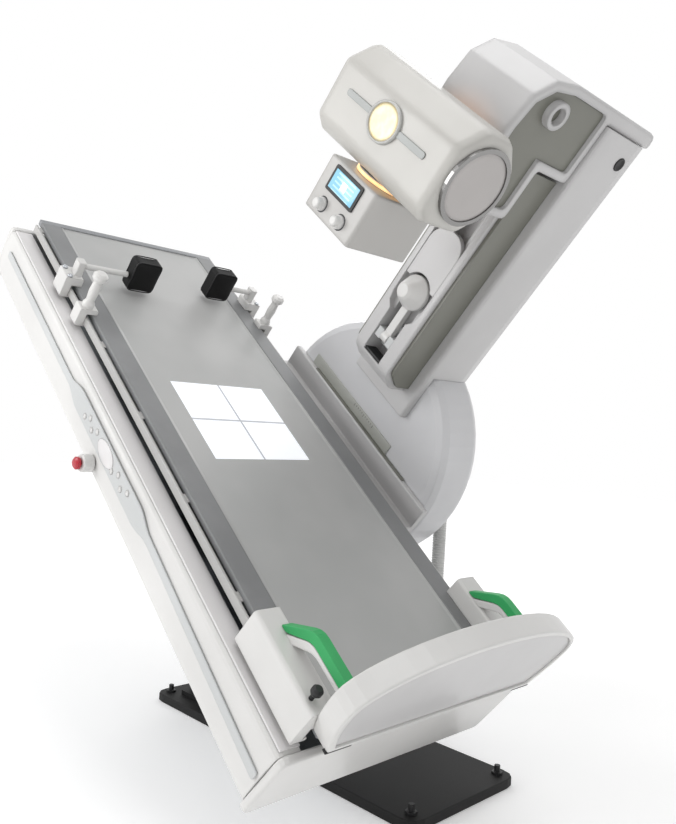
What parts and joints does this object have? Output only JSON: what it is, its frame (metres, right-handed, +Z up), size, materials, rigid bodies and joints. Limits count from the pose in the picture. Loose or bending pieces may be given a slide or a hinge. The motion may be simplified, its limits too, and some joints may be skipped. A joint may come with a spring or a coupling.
{
  "type": "radiography table",
  "caption": "Tilting radiography table with a sliding tabletop, footrest, shoulder rests and a tube column that travels, swings and lifts along its back.",
  "frame": {"origin": "centre of the base plate's underside, on the floor", "axes": "+Z up, +X toward the foot end, +Y from the operator's side to the column"},
  "size_m": [1.9961, 1.2934, 2.1265],
  "materials": {
    "painted_metal_1": "satin",
    "aluminium_2": "satin",
    "rubber_3": "satin",
    "brushed_steel_4": "satin",
    "aluminium_5": "satin",
    "gloss_plastic_6": "satin",
    "matte_plastic_7": "satin",
    "gloss_plastic_8": "satin",
    "aluminium_9": "satin",
    "gloss_plastic_10": "satin",
    "matte_plastic_11": "satin",
    "matte_plastic_12": "satin",
    "chrome_13": "satin",
    "rubber_14": "satin",
    "matte_plastic_15": "satin",
    "leather_16": "satin",
    "matte_plastic_17": "satin",
    "matte_plastic_18": "satin",
    "gloss_plastic_19": "satin",
    "gloss_plastic_20": "satin",
    "matte_plastic_21": "satin"
  },
  "bodies": {
    "base": {"base_plate": "painted_metal_1", "stand_cheek_front": "painted_metal_1", "stand_cheek_back": "painted_metal_1", "tilt_motor": "aluminium_2", "cable_hose": "rubber_3"},
    "pinion": {"drive_pinion": "brushed_steel_4"},
    "roller_head": {"roller_head": "brushed_steel_4"},
    "roller_foot": {"roller_foot": "brushed_steel_4"},
    "roller_keeper": {"roller_keeper": "brushed_steel_4"},
    "table": {"table_pan": "aluminium_5", "front_cover": "gloss_plastic_6", "front_ledge": "matte_plastic_7", "foot_end_cover": "gloss_plastic_6", "head_end_cover": "gloss_plastic_6", "control_strip": "gloss_plastic_8", "stop_housing": "gloss_plastic_6", "cross_rail_head": "aluminium_9", "cross_rail_foot": "aluminium_9", "column_rail": "aluminium_9", "tilt_arc": "brushed_steel_4"},
    "stop_button": {"stop_button": "gloss_plastic_10"},
    "tabletop": {"tabletop_panel": "matte_plastic_11", "side_strip_front": "matte_plastic_12", "side_strip_back": "matte_plastic_12", "accessory_rail_front": "chrome_13", "accessory_rail_back": "chrome_13"},
    "footrest": {"footrest_plate": "gloss_plastic_6", "footrest_bracket_front": "gloss_plastic_6", "footrest_bracket_back": "gloss_plastic_6", "footrest_grip_front": "rubber_14", "footrest_grip_back": "rubber_14"},
    "lock_front": {"lock_plunger_front": "matte_plastic_15"},
    "lock_back": {"lock_plunger_back": "matte_plastic_15"},
    "shoulder_front": {"shoulder_clamp_front": "gloss_plastic_6", "shoulder_pad_front": "leather_16"},
    "shoulder_back": {"shoulder_clamp_back": "gloss_plastic_6", "shoulder_pad_back": "leather_16"},
    "handgrip_front": {"handgrip_front": "gloss_plastic_6"},
    "handgrip_back": {"handgrip_back": "gloss_plastic_6"},
    "carriage": {"carriage_cover": "gloss_plastic_6", "scale_plate": "matte_plastic_17", "detector_tray": "aluminium_9", "detector_panel": "matte_plastic_18"},
    "column": {"column_drum": "gloss_plastic_8", "column_shell": "gloss_plastic_6", "column_housing": "gloss_plastic_19", "column_side_head": "matte_plastic_17", "column_side_foot": "matte_plastic_17"},
    "compressor": {"compressor_slider": "gloss_plastic_8"},
    "compressor_arm": {"compressor_arm": "gloss_plastic_6"},
    "tube_carriage": {"tube_hood": "gloss_plastic_6", "tube_mast": "aluminium_9"},
    "tube_head": {"tube_housing": "gloss_plastic_19", "tube_ring": "chrome_13", "tube_cap": "gloss_plastic_8", "tube_badge": "matte_plastic_17"},
    "collimator": {"collimator": "gloss_plastic_6", "collimator_display": "gloss_plastic_20"},
    "knob_head": {"collimator_knob_head": "matte_plastic_21"},
    "knob_foot": {"collimator_knob_foot": "matte_plastic_21"}
  },
  "joints": [
    {"name": "table_tilt", "type": "hinge", "parent": "base", "child": "table", "pos_m": [0.065, -0.136, 0.872], "axis": [0, 1, 0], "range_deg": [-55.4, 49.6], "deforming": ["cable_hose"]},
    {"name": "pinion_turn", "type": "hinge", "parent": "base", "child": "pinion", "pos_m": [-0.39781, 0, 0.32045], "axis": [0, 1, 0], "range_deg": [-695.4, 776.6]},
    {"name": "roller_head_turn", "type": "hinge", "parent": "base", "child": "roller_head", "pos_m": [-0.45455, 0, 0.38751], "axis": [0, 1, 0], "range_deg": [-1125.27, 1256.73]},
    {"name": "roller_foot_turn", "type": "hinge", "parent": "base", "child": "roller_foot", "pos_m": [-0.32191, 0, 0.27621], "axis": [0, 1, 0], "range_deg": [-1125.27, 1256.73]},
    {"name": "roller_keeper_turn", "type": "hinge", "parent": "base", "child": "roller_keeper", "pos_m": [-0.31399, 0, 0.42034], "axis": [0, 1, 0], "range_deg": [-1145.93, 1026.07]},
    {"name": "stop_press", "type": "slide", "parent": "table", "child": "stop_button", "axis": [0, 1, 0], "range_m": [0, 0.005], "stiffness_N_per_m": 800},
    {"name": "tabletop_shift", "type": "slide", "parent": "table", "child": "tabletop", "axis": [0, 1, 0], "range_m": [-0.05, 0.05]},
    {"name": "footrest_slide", "type": "slide", "parent": "tabletop", "child": "footrest", "axis": [0.7615, 0, -0.6481], "range_m": [-0.2, 0]},
    {"name": "lock_front_pull", "type": "slide", "parent": "footrest", "child": "lock_front", "axis": [0.6481, 0, 0.7615], "range_m": [0, 0.008], "stiffness_N_per_m": 600},
    {"name": "lock_back_pull", "type": "slide", "parent": "footrest", "child": "lock_back", "axis": [0.6481, 0, 0.7615], "range_m": [0, 0.008], "stiffness_N_per_m": 600},
    {"name": "shoulder_front_slide", "type": "slide", "parent": "tabletop", "child": "shoulder_front", "axis": [0.7615, 0, -0.6481], "range_m": [-0.2, 0.1]},
    {"name": "shoulder_back_slide", "type": "slide", "parent": "tabletop", "child": "shoulder_back", "axis": [0.7615, 0, -0.6481], "range_m": [-0.2, 0.06]},
    {"name": "handgrip_front_slide", "type": "slide", "parent": "tabletop", "child": "handgrip_front", "axis": [0.7615, 0, -0.6481], "range_m": [0, 0.5]},
    {"name": "handgrip_back_slide", "type": "slide", "parent": "tabletop", "child": "handgrip_back", "axis": [0.7615, 0, -0.6481], "range_m": [0, 0.4]},
    {"name": "carriage_travel", "type": "slide", "parent": "table", "child": "carriage", "axis": [0.7615, 0, -0.6481], "range_m": [-0.45, 0.3]},
    {"name": "column_swing", "type": "hinge", "parent": "carriage", "child": "column", "pos_m": [-0.15627, -0.136, 0.99466], "axis": [0, 1, 0], "range_deg": [-30, 30]},
    {"name": "compressor_travel", "type": "slide", "parent": "column", "child": "compressor", "axis": [0.6481, 0, 0.7615], "range_m": [-0.03, 0.25]},
    {"name": "compressor_fold", "type": "hinge", "parent": "compressor", "child": "compressor_arm", "pos_m": [0.1302, 0.09, 1.33126], "axis": [0.7615, 0, -0.6481], "range_deg": [0, 90]},
    {"name": "source_lift", "type": "slide", "parent": "column", "child": "tube_carriage", "axis": [0.6481, 0, 0.7615], "range_m": [0, 0.35]},
    {"name": "tube_turn", "type": "hinge", "parent": "tube_carriage", "child": "tube_head", "pos_m": [0.53074, -0.301, 1.80189], "axis": [0, 1, 0], "range_deg": [-90, 90]},
    {"name": "collimator_turn", "type": "hinge", "parent": "tube_head", "child": "collimator", "pos_m": [0.44519, -0.301, 1.70136], "axis": [0.6481, 0, 0.7615], "range_deg": [-45, 45]},
    {"name": "knob_head_turn", "type": "hinge", "parent": "collimator", "child": "knob_head", "pos_m": [0.32175, -0.419, 1.6273], "axis": [0, 1, 0], "range_deg": [-135, 135]},
    {"name": "knob_foot_turn", "type": "hinge", "parent": "collimator", "child": "knob_foot", "pos_m": [0.39181, -0.419, 1.56768], "axis": [0, 1, 0], "range_deg": [-135, 135]}
  ],
  "couplings": [
    {"joint": "pinion_turn", "follows": "table_tilt", "ratio": -14},
    {"joint": "roller_head_turn", "follows": "table_tilt", "ratio": -22.667},
    {"joint": "roller_foot_turn", "follows": "table_tilt", "ratio": -22.667},
    {"joint": "roller_keeper_turn", "follows": "table_tilt", "ratio": 20.667}
  ]
}
